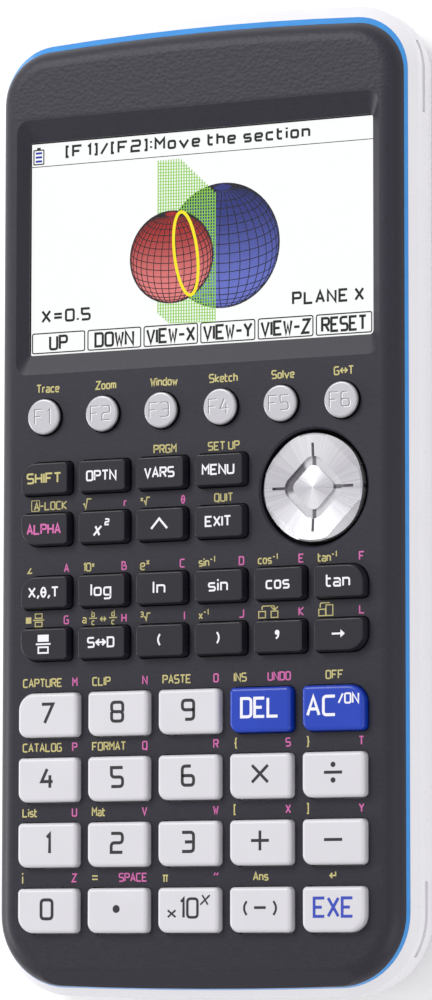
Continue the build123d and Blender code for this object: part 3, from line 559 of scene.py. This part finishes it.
def draw_sphere(name, x, y, radius, top_colour, low_colour, level):
    """Shaded disc with the front halves of its parallels and meridians, its pole tipped forwards."""
    fill = Print()
    fill.disc(*on_screen(x, y), radius, SCREEN_Z + LAYER * level, 64)
    fill.piece(f"screen_{name}_ball", glow(f"screen_{name}", top_colour, low_colour,
               (y - 0.8 * radius, y + 0.7 * radius)), "case")
    rings = [[(radians(latitude), radians(turn)) for turn in range(-180, 181, 10)]
             for latitude in range(-63, 64, 9)]
    rings += [[(radians(latitude), radians(longitude)) for latitude in range(-81, 82, 9)]
              for longitude in range(-180, 180, 11)]
    net = Print()
    for net_ring in rings:
        run = []
        for latitude, longitude in net_ring:
            east = cos(latitude) * sin(longitude)
            near = cos(latitude) * cos(longitude)
            up = sin(latitude) * cos(NET_TIP) - near * sin(NET_TIP)
            front = sin(latitude) * sin(NET_TIP) + near * cos(NET_TIP)
            if front > -0.02:
                run.append(on_screen(x + east * radius * 0.99, y + up * radius * 0.99))
                continue
            if len(run) > 1:
                net.line(run, NET_STROKE, SCREEN_Z + LAYER * (level + 1))
            run = []
        if len(run) > 1:
            net.line(run, NET_STROKE, SCREEN_Z + LAYER * (level + 1))
    net.line([on_screen(x + radius * cos(radians(turn)), y + radius * sin(radians(turn)))
              for turn in range(0, 360, 6)], 0.15, SCREEN_Z + LAYER * (level + 1) + 0.01, 0, True)
    net.piece(f"screen_{name}_net", screen_black, "case")


draw_sphere("blue", 4.55, -1.8, 12.05, rgb(34, 44, 118), rgb(98, 108, 196), 1)
PLANE_LEFT = -9.35
PLANE_RIGHT = 2.95
PLANE_TOP = 15.7
PLANE_FOOT = -16.2
HATCH_STEP = 0.559
HATCH_ROW = 0.6
hatch = Print()
column = PLANE_LEFT
while column <= PLANE_RIGHT + 0.01:
    top = PLANE_TOP - max(column + 4.5, 0) * 0.95
    foot = PLANE_FOOT + max(-6.9 - column, 0) * 0.85
    hatch.line([on_screen(column, foot), on_screen(column, top)], 0.22, SCREEN_Z + LAYER * 3)
    column += HATCH_STEP
row = PLANE_FOOT + 0.1
while row < PLANE_TOP - 0.2:
    right = min(PLANE_RIGHT, -4.5 + (PLANE_TOP - row) / 0.95)
    left = max(PLANE_LEFT, -6.9 - (row - PLANE_FOOT) / 0.85)
    hatch.line([on_screen(left, row), on_screen(right, row - 0.3)], 0.15, SCREEN_Z + LAYER * 3 + 0.012)
    row += HATCH_ROW
hatch.piece("screen_plane_net", glow("screen_green", rgb(140, 205, 70)), "case")
draw_sphere("red", -6.4, -3.3, 8.95, rgb(160, 24, 24), rgb(226, 122, 122), 4)

RING_HALF = (2.45, 8.2)
RING_LEAN = radians(-7.5)
ring = Print()
ring_points = []
for step in range(48):
    across = RING_HALF[0] * cos(2 * pi * step / 48)
    up = RING_HALF[1] * sin(2 * pi * step / 48)
    ring_points.append(on_screen(-3.3 + across * cos(RING_LEAN) + up * sin(RING_LEAN),
                                 -2.85 - across * sin(RING_LEAN) + up * cos(RING_LEAN)))
ring.line(ring_points, 0.62, SCREEN_Z + LAYER * 6, 0, True)
ring.piece("screen_section_ring", glow("screen_yellow", rgb(250, 232, 20)), "case")

print_z = SCREEN_Z + LAYER
words = Print()
words.text("[F1]/[F2]:Move the section", -29.7, SCREEN_Y + 18.95, print_z, 2.5, 0.48, span=52.8, gap=2.1)
words.line([on_screen(-SCREEN_HALF[0], 16.4), on_screen(SCREEN_HALF[0], 16.4)], 0.15, print_z)
words.text("X=0.5", -34.9, SCREEN_Y - 13.2, print_z, 2.6, 0.48, span=10.9, gap=2.1)
words.text("PLANE X", 34.3, SCREEN_Y - 13.0, print_z, 2.6, 0.48, "right", span=15.1, gap=2.1)
SOFT_KEYS = {"UP": 4.2, "DOWN": 8.7, "VIEW-X": 10.6, "VIEW-Y": 10.6, "VIEW-Z": 10.6, "RESET": 9.6}
for index, (legend, span) in enumerate(SOFT_KEYS.items()):
    middle = (index - 2.5) * 12.23 - 0.5
    words.line(screen_box(middle - 5.75, middle + 5.75, -20.35, -16.5), 0.24, print_z, 0.4, True)
    words.text(legend, middle, SCREEN_Y - 18.45, print_z, 3.0, 0.5, "center", span=span)
words.line(screen_box(-36.7, -34.5, 16.9, 19.7), 0.24, print_z, 0.1, True)
words.line([on_screen(-36.0, 20.0), on_screen(-35.2, 20.0)], 0.4, print_z)
words.piece("screen_words", screen_black, "case")
charge = Print()
for bar in range(3):
    charge.line([on_screen(-36.3, 17.5 + bar * 0.8), on_screen(-34.9, 17.5 + bar * 0.8)], 0.42, print_z)
charge.piece("screen_charge", glow("screen_ink_blue", rgb(30, 50, 170)), "case")
mask = Print()
mask_x, mask_foot, mask_top = SCREEN_MASK
mask.line(screen_box(-mask_x - MASK_WIDTH / 2, mask_x + MASK_WIDTH / 2, mask_foot - MASK_WIDTH / 2,
                     mask_top + MASK_WIDTH / 2), MASK_WIDTH, SCREEN_Z + LAYER * 7, 0, True)
mask.piece("screen_mask", finish("mask_ink", lambda p: {
    "Base Color": p.stretch(1, 1, 1).noise().tint(rgb(8, 8, 10), rgb(14, 14, 16))}, Roughness=0.6),
    "case")

# ---- Window ----
# A thin plate of clear acrylic, cemented in from below. It lets the display through and adds only a
# weak, slightly uneven reflection.
window_material = bpy.data.materials.new("window_acrylic")
window_material.use_nodes = True
window_tree = window_material.node_tree
window_tree.nodes.remove(window_tree.nodes["Principled BSDF"])
start = Wire(window_tree, window_tree.nodes.new("ShaderNodeTexCoord").outputs["Object"])
gloss = start.make("ShaderNodeBsdfGlossy", None, {"Roughness": 0.06, "Color": (1, 1, 1, 1)})
clear = start.make("ShaderNodeBsdfTransparent", None, {"Color": (0.985, 0.99, 0.99, 1)})
smear = start.stretch(0.08, 0.05, 0.08).noise(3.0)
pane = start.make("ShaderNodeMixShader", None, {0: smear * 0.012 + 0.012, 1: clear, 2: gloss})
window_tree.links.new(pane.socket, window_tree.nodes["Material Output"].inputs["Surface"])
dress(window_material, "display_window")


# ---- Keys ----
# Moulded keytops: dark and white ABS with rounded edges, two blue ones, legends pad-printed on top.
def plastic_links(low, high, rough, cell=3.0):
    def links(places):
        cloud = places.stretch(0.12, 0.12, 0.12).noise()
        fine = places.stretch(cell, cell, cell).noise(3.0, 0.6)
        return {
            "Base Color": cloud.tint(low, high),
            "Roughness": fine * 0.1 + rough,
            "Normal": fine.bump(0.12, 0.02),
        }
    return links


DARK_KEYS = ["shift", "optn", "vars", "menu", "alpha", "square", "power", "exit", "variable", "log", "ln",
             "sin", "cos", "tan", "fraction", "convert", "paren_open", "paren_close", "comma", "arrow"]
WHITE_KEYS = ["7", "8", "9", "4", "5", "6", "times", "divide", "1", "2", "3", "plus", "minus", "0", "point",
              "exponent", "negative", "execute"]
dark_plastic = finish("dark_key_plastic", plastic_links(rgb(26, 25, 33), rgb(33, 32, 41), 0.28),
                      Specular_IOR_Level=0.4)
white_plastic = finish("white_key_plastic", plastic_links(rgb(204, 203, 208), rgb(210, 209, 214), 0.28))
blue_plastic = finish("blue_key_plastic", plastic_links(rgb(12, 52, 166), rgb(18, 60, 178), 0.26))
dress(dark_plastic, *[f"key_{name}" for name in DARK_KEYS])
dress(white_plastic, *[f"key_{name}" for name in WHITE_KEYS])
dress(blue_plastic, "key_delete", "key_clear")

DARK_LEGENDS = {
    "shift": ("SHIFT", 7.6), "optn": ("OPTN", 6.6), "vars": ("VARS", 6.5), "menu": ("MENU", 6.9),
    "alpha": ("ALPHA", 7.5), "exit": ("EXIT", 5.6), "variable": ("X,θ,T", 6.7), "log": ("log", 4.5),
    "ln": ("ln", 2.7), "sin": ("sin", 4.2), "cos": ("cos", 5.0), "tan": ("tan", 5.0),
    "convert": ("S↔D", 5.9), "paren_open": ("(", None), "paren_close": (")", None),
}
for name in DARK_KEYS:
    node = f"key_{name}"
    x, y = key_centre(node)
    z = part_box(node)[1][2] / MM + 0.005
    mark = Print()
    if name == "fraction":
        mark.patch([(x - 1.2, y + 0.45), (x + 1.2, y + 0.45), (x + 1.2, y + 1.8), (x - 1.2, y + 1.8)], z)
        mark.line([(x - 1.6, y), (x + 1.6, y)], 0.32, z)
        mark.line([(x - 1.05, y - 0.6), (x + 1.05, y - 0.6), (x + 1.05, y - 1.7), (x - 1.05, y - 1.7)],
                  0.32, z, 0, True)
    elif name == "square":
        mark.text("x", x - 1.5, y - 0.35, z, 3.0, 0.4, slant=0.25, squeeze=0.95)
        mark.text("2", x + 0.75, y + 0.85, z, 1.35, 0.3, squeeze=1.1)
    elif name == "power":
        mark.line([(x - 1.7, y - 0.9), (x, y + 1.0), (x + 1.7, y - 0.9)], 0.42, z)
    elif name == "comma":
        mark.disc(x - 0.1, y + 0.7, 0.48, z, 20)
        mark.line([(x + 0.22, y + 0.7), (x + 0.1, y - 0.1), (x - 0.35, y - 0.45)], 0.34, z + 0.003, 0.3)
    elif name == "arrow":
        mark.line([(x - 1.3, y + 0.1), (x + 0.7, y + 0.1)], 0.36, z)
        mark.patch([(x + 0.5, y - 0.65), (x + 1.4, y + 0.1), (x + 0.5, y + 0.85)], z + 0.012)
    else:
        legend, span = DARK_LEGENDS[name]
        tall = legend[0].islower() or legend in "()"
        mark.text(legend, x, y + (0.1 if tall else 0), z, 2.45 if tall else 2.1, 0.35, "center", 1.1, span)
    material = {"shift": ink_gold, "alpha": ink_pink}.get(name, ink_white)
    mark.piece(f"legend_{name}", material, node)

SYMBOL_STROKE = 0.56
DIGIT_HEIGHT = 4.2


def key_mark(name):
    """Print of one light or blue key."""
    node = f"key_{name}"
    x, y = key_centre(node) + Vector((0.1, 0.4))
    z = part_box(node)[1][2] / MM + 0.005
    mark = Print()
    if name.isdigit():
        mark.text(name, x, y - 0.1, z, DIGIT_HEIGHT, 0.6, "center", 1.0)
    elif name == "execute":
        mark.text("EXE", x, y, z, 3.95, 0.56, "center", span=8.4)
    elif name == "delete":
        mark.text("DEL", x - 0.1, y, z, 4.0, 0.56, "center", span=8.1)
    elif name == "clear":
        mark.text("AC", x - 5.5, y, z, 4.0, 0.56, span=6.2)
        mark.text("/ON", x + 1.0, y + 1.3, z, 2.1, 0.34, span=4.4)
    elif name == "times":
        mark.line([(x - 1.65, y - 1.6), (x + 1.65, y + 1.6)], SYMBOL_STROKE, z)
        mark.line([(x - 1.65, y + 1.6), (x + 1.65, y - 1.6)], SYMBOL_STROKE, z)
    elif name in ("plus", "minus", "divide"):
        mark.line([(x - 1.85, y), (x + 1.85, y)], SYMBOL_STROKE, z)
        if name == "plus":
            mark.line([(x, y - 1.85), (x, y + 1.85)], SYMBOL_STROKE, z)
        if name == "divide":
            mark.disc(x, y + 1.45, 0.5, z, 24)
            mark.disc(x, y - 1.45, 0.5, z, 24)
    elif name == "point":
        mark.disc(x - 0.1, y - 0.1, 0.75, z, 32)
    elif name == "exponent":
        mark.text("×", x - 4.4, y - 1.05, z, 2.3, 0.36, span=2.0)
        mark.text("10", x - 2.2, y, z, 4.0, 0.5, span=4.5)
        mark.text("x", x + 2.8, y + 1.95, z, 3.0, 0.32, span=1.9, slant=0.2)
    elif name == "negative":
        mark.text("(", x - 3.5, y - 0.1, z, 3.0, 0.42, squeeze=1.2)
        mark.line([(x - 1.2, y), (x + 1.2, y)], 0.5, z)
        mark.text(")", x + 2.6, y - 0.1, z, 3.0, 0.42, squeeze=1.2)
    material = {"execute": ink_blue, "delete": ink_white, "clear": ink_white}.get(name, ink_dark)
    mark.piece(f"legend_{name}", material, node)


for name in WHITE_KEYS + ["delete", "clear"]:
    key_mark(name)


# ---- Function keys and cursor disc ----
# Silver metallised plastic. The round keys are satin. Each number is a darker print and a lighter print,
# offset, as painted shade and painted highlight of sunk letters, and the keys' sides are painted dark as
# painted shade in the gap around them. The disc has fine random streaks fanning from its middle.
# Its light and dark fans are painted highlights, and its ring recess and slots are painted darker as painted
# shade.
STREAKS = 46


def disc_links(places):
    x = places.axis("X") - disc_centre.x
    y = places.axis("Y") - disc_centre.y
    z = places.axis("Z")
    turn = y.maths("ARCTAN2", x)
    streak = turn.make("ShaderNodeTexWhiteNoise", {"noise_dimensions": "1D"},
                       {"W": (turn * STREAKS).maths("FLOOR")})
    # Painted highlights: the colour is lighter in two broad fans towards the top and the bottom, and in a
    # narrow fan on the middle cap, in place of the lamps' reflection. The random streaks are the metal's own
    # grain.
    painted_fan_light = (turn - radians(4)).maths("SINE").maths("ABSOLUTE")
    radius = (x * x + y * y).maths("SQRT")
    cap = 1 - radius.step(4.1, 4.5)
    painted_fans_and_streaks = painted_fan_light.maths("POWER", 2.2) * 0.78 + painted_fan_light.maths("POWER", 24) * cap * 0.5 + streak * 0.14
    metal = painted_fans_and_streaks.tint(rgb(190, 188, 195), rgb(236, 236, 239))
    # Painted shade: sunk surfaces take a plain light grey, painted darker on the upper-left part of the ring
    # recess and in the slots, where their walls face away from the light.
    sunk = 1 - z.step(disc_top - 0.9, disc_top - 0.8)
    painted_far_wall_shade = (turn - radians(152)).maths("COSINE").step(0.72, 0.86)
    slot = (x.maths("ABSOLUTE").maths("MINIMUM", y.maths("ABSOLUTE"))) * -1
    slot = slot.step(-0.45, -0.35)
    painted_hollow_shade = (painted_far_wall_shade * 0.85).maths("MAXIMUM", slot * 0.75 + 0.1)
    dark = painted_hollow_shade.tint(rgb(218, 218, 222), rgb(76, 73, 80))
    return {
        "Base Color": places.make("ShaderNodeMix", {"data_type": "RGBA"}, {0: sunk, 6: metal, 7: dark}, 2),
        "Roughness": streak * 0.1 + 0.27,
        "Normal": streak.bump(0.12, 0.02),
    }


disc_centre = key_centre("cursor_disc")
disc_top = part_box("cursor_disc")[1][2] / MM
cap_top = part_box("key_f1")[1][2] / MM
disc_metal = finish("disc_metal", disc_links, Metallic=0.7)
dress(disc_metal, "cursor_disc")
# The caps' sides, from about 0.7 mm below the top, are painted near black: painted shade in the gap around
# each key.
cap_metal = finish("cap_metal", lambda p: {
    "Base Color": p.axis("Z").step(cap_top - 0.75, cap_top - 0.6).tint(
        rgb(34, 33, 38), rgb(184, 183, 188)),
    "Roughness": p.stretch(6, 6, 6).noise() * 0.12 + 0.34,
    "Normal": p.stretch(5, 5, 5).noise(3.0, 0.7).bump(0.15, 0.03)}, Metallic=0.6)
dress(cap_metal, *[f"key_f{number}" for number in range(1, 7)])
# Each F number is printed twice over the satin top: a darker copy shifted left and up, and a light copy
# shifted right and down. They are painted shade and a painted highlight in place of the walls of sunk
# letters.
painted_sunk_shade = finish("painted_sunk_shade", lambda p: {
    "Base Color": p.stretch(4, 4, 4).noise().tint(rgb(96, 94, 100), rgb(120, 118, 124))}, Roughness=0.5)
painted_sunk_highlight = finish("painted_sunk_highlight", lambda p: {
    "Base Color": p.stretch(4, 4, 4).noise().tint(rgb(228, 228, 232), rgb(244, 244, 246))}, Roughness=0.4)
for number in range(1, 7):
    node = f"key_f{number}"
    x, y = key_centre(node)
    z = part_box(node)[1][2] / MM - 0.012
    for part, shift, width, material in (("shade", -0.13, 0.15, painted_sunk_shade),
                                         ("light", 0.13, 0.14, painted_sunk_highlight)):
        mark = Print()
        mark.text(f"F{number}", x + shift - 0.1, y - shift * 0.6, z, 2.9, width, "center", 0.92, gap=1.8)
        mark.piece(f"legend_f{number}_{part}", material, node)

# ---- Band and rear shell ----
# Translucent blue band, and a glossy white ABS shell with its battery cover. A plain rectangle of metal
# foil is stuck on the back, near the key end.
band_blue = finish("band_blue", lambda p: {
    "Base Color": p.stretch(0.3, 0.3, 0.3).noise().tint(rgb(42, 132, 206), rgb(56, 148, 222)),
    "Roughness": p.stretch(2, 2, 2).noise() * 0.1 + 0.14}, Coat_Weight=0.4)
dress(band_blue, "trim_band")


LABEL_HALF = 26.0
LABEL_ENDS = (-62.0, -34.0)
LABEL_TOP_Z = 0.3


def shell_links(places):
    links = plastic_links(rgb(226, 225, 229), rgb(232, 231, 235), 0.24, 1.6)(places)
    x = places.axis("X")
    y = places.axis("Y")
    across = 1 - x.maths("ABSOLUTE").step(LABEL_HALF - 0.05, LABEL_HALF)
    along = y.step(LABEL_ENDS[0], LABEL_ENDS[0] + 0.05) * (1 - y.step(LABEL_ENDS[1] - 0.05, LABEL_ENDS[1]))
    label = across * along * (1 - places.axis("Z").step(LABEL_TOP_Z - 0.05, LABEL_TOP_Z))
    return {
        "Base Color": places.make("ShaderNodeMix", {"data_type": "RGBA"},
                                  {0: label, 6: links["Base Color"], 7: rgb(186, 187, 191)}, 2),
        "Roughness": links["Roughness"] + label * 0.12,
        "Metallic": label * 0.55,
        "Normal": links["Normal"],
    }


shell_white = finish("shell_white", shell_links)
dress(shell_white, "rear_case", "battery_cover")

# ---- Rows of small bars ----
# Four rounded ribs stand in the grooves of the battery cover's finger grip. Five gilt strips lie side
# by side on the tongue of the data socket.
BOARD_Z = 8.46


def bar_row():
    """Node tree: a row of Count rounded bars of one Size, each Step beyond the last, from Start."""
    tree = bpy.data.node_groups.new("bar_row", "GeometryNodeTree")
    sockets = {"Count": "NodeSocketInt", "Start": "NodeSocketVector", "Step": "NodeSocketVector",
               "Size": "NodeSocketVector", "Finish": "NodeSocketMaterial"}
    for label, kind in sockets.items():
        tree.interface.new_socket(label, in_out="INPUT", socket_type=kind)
    tree.interface.new_socket("Geometry", in_out="OUTPUT", socket_type="NodeSocketGeometry")
    enter = tree.nodes.new("NodeGroupInput")
    given = {label: Wire(tree, enter.outputs[label]) for label in sockets}
    line = given["Count"].make("GeometryNodeCurvePrimitiveLine", None,
                               {"Start": (-0.5, 0, 0), "End": (0.5, 0, 0)})
    line = line.make("GeometryNodeResampleCurve", None, {"Curve": line, "Count": 65})
    along = line.make("GeometryNodeSplineParameter")
    swell = ((along * 2 - 1).maths("ABSOLUTE").maths("POWER", 30) * -1 + 1.001).maths("SQRT")
    line = line.make("GeometryNodeSetCurveRadius", None, {"Curve": line, "Radius": swell})
    profile = line.make("GeometryNodeCurvePrimitiveCircle", None, {"Resolution": 16, "Radius": 0.5})
    bar = line.make("GeometryNodeCurveToMesh", None,
                    {"Curve": line, "Profile Curve": profile, "Fill Caps": True})
    row = line.make("GeometryNodeMeshLine", None, {
        "Count": given["Count"], "Start Location": given["Start"], "Offset": given["Step"]})
    row = row.make("GeometryNodeInstanceOnPoints", None,
                   {"Points": row, "Instance": bar, "Scale": given["Size"]})
    row = row.make("GeometryNodeRealizeInstances", None, {"Geometry": row})
    row = row.make("GeometryNodeSetMaterial", None, {"Geometry": row, "Material": given["Finish"]})
    leave = tree.nodes.new("NodeGroupOutput")
    tree.links.new(row.socket, leave.inputs["Geometry"])
    return tree


def grow(name, tree, body, slot, **inputs):
    """Runs a node tree once and keeps its mesh as a piece that rides on body."""
    grown = bpy.data.objects.new(name, bpy.data.meshes.new(name))
    bpy.context.scene.collection.objects.link(grown)
    modifier = grown.modifiers.new("grow", "NODES")
    modifier.node_group = tree
    for item in tree.interface.items_tree:
        if item.name in inputs:
            modifier[item.identifier] = inputs[item.name]
    depsgraph = bpy.context.evaluated_depsgraph_get()
    data = bpy.data.meshes.new_from_object(grown.evaluated_get(depsgraph))
    grown.modifiers.clear()
    grown.data = data
    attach(grown, body)


contact_gilt = finish("contact_gilt", lambda p: {
    "Base Color": p.stretch(3, 3, 3).noise().tint(rgb(206, 168, 84), rgb(226, 190, 110)),
    "Roughness": p.stretch(3, 3, 3).noise() * 0.1 + 0.2}, Metallic=1.0)
bars = bar_row()
grow("cover_grip_ribs", bars, "battery_cover", "white_shell", Count=4, Start=(0, 0.0664, 0.00021),
     Step=(0, 0.0016, 0), Size=(0.0116, 0.0005, 0.00026), Finish=shell_white)
grow("socket_contacts", bars, "case", "circuit_board", Count=5, Start=(0.0114, 0.0892, (BOARD_Z - 1.53) * MM),
     Step=(0.0008, 0, 0), Size=(0.0004, 0.0034, 0.00008), Finish=contact_gilt)

# ---- Inside ----
# Board, mat, cells, contacts, screws and the restart plunger, seen through the openings.
JACK_X = -13.0
JACK_Z = BOARD_Z - 2.5
JACK_RING = 1.75
BOARD_TOP_Z = BOARD_Z + 1.28
PORTS_Y = 80.0


def board_links(places):
    z = places.axis("Z")
    under = 1 - z.step(BOARD_Z - 0.02, BOARD_Z + 0.02)
    above = z.step(BOARD_TOP_Z - 0.02, BOARD_TOP_Z + 0.02)
    end = places.axis("Y").step(PORTS_Y, PORTS_Y + 0.1)
    socket = places.axis("X").step(0.0, 0.1)
    bore_x = places.axis("X") - JACK_X
    bore_z = z - JACK_Z
    ring = 1 - (bore_x * bore_x + bore_z * bore_z).maths("SQRT").step(JACK_RING, JACK_RING + 0.05)
    shiny = end * socket.maths("MAXIMUM", ring)
    tracks = places.stretch(0.9, 0.9, 0.9).make(
        "ShaderNodeTexBrick", None, {"Scale": 1.0, "Color1": (1, 1, 1, 1), "Color2": (0.7, 0.7, 0.7, 1),
                                     "Mortar": (0, 0, 0, 1), "Mortar Size": 0.06})
    mask = tracks.tint(rgb(18, 84, 46), rgb(26, 104, 58))
    parts = shiny.tint(rgb(28, 28, 30), rgb(186, 186, 190))
    colour = places.make("ShaderNodeMix", {"data_type": "RGBA"}, {0: under, 6: mask, 7: parts}, 2)
    return {
        "Base Color": places.make("ShaderNodeMix", {"data_type": "RGBA"},
                                  {0: above, 6: colour, 7: rgb(210, 208, 200)}, 2),
        "Metallic": under * shiny,
        "Roughness": places.stretch(1, 1, 1).noise() * 0.2 + 0.3,
    }


dress(finish("board_finish", board_links), "main_board")
dress(finish("mat_rubber", plastic_links(rgb(24, 24, 26), rgb(32, 32, 34), 0.7)), "keypad_mat")
dress(finish("pivot_acetal", plastic_links(rgb(214, 212, 204), rgb(224, 222, 214), 0.4)), "cursor_pivot")
dress(finish("restart_plastic", plastic_links(rgb(60, 60, 64), rgb(70, 70, 74), 0.4)), "reset_button")
dress(finish("spring_nickel", lambda p: {
    "Base Color": p.stretch(1, 1, 1).noise().tint(rgb(190, 188, 180), rgb(210, 208, 200)),
    "Roughness": p.stretch(3, 3, 3).noise() * 0.15 + 0.18}, Metallic=1.0), "battery_contacts")
dress(finish("screw_zinc", lambda p: {
    "Base Color": p.stretch(2, 2, 2).noise().tint(rgb(120, 118, 112), rgb(160, 158, 150)),
    "Roughness": p.stretch(3, 3, 3).noise() * 0.2 + 0.25}, Metallic=1.0), "case_screws")


CELL_PITCH = 10.9
BAY_MIDDLE = 51.3
SLEEVE_END = 21.0
SLEEVE_BAND = 8.7


def cell_links(places):
    turned = ((places.axis("X") + 2 * CELL_PITCH) / CELL_PITCH).maths("FLOOR").maths("MODULO", 2.0)
    along = (places.axis("Y") - BAY_MIDDLE) * (1 - 2 * turned)
    metal = along.maths("ABSOLUTE").step(SLEEVE_END, SLEEVE_END + 0.1)
    band = along.step(SLEEVE_BAND, SLEEVE_BAND + 0.1)
    sleeve = band.tint(rgb(34, 36, 42), rgb(182, 132, 60))
    return {
        "Base Color": places.make("ShaderNodeMix", {"data_type": "RGBA"},
                                  {0: metal, 6: sleeve, 7: rgb(196, 196, 198)}, 2),
        "Metallic": metal * 0.6 + 0.3,
        "Roughness": places.stretch(1, 1, 1).noise() * 0.15 + 0.25,
    }


dress(finish("cell_sleeve", cell_links), "batteries")
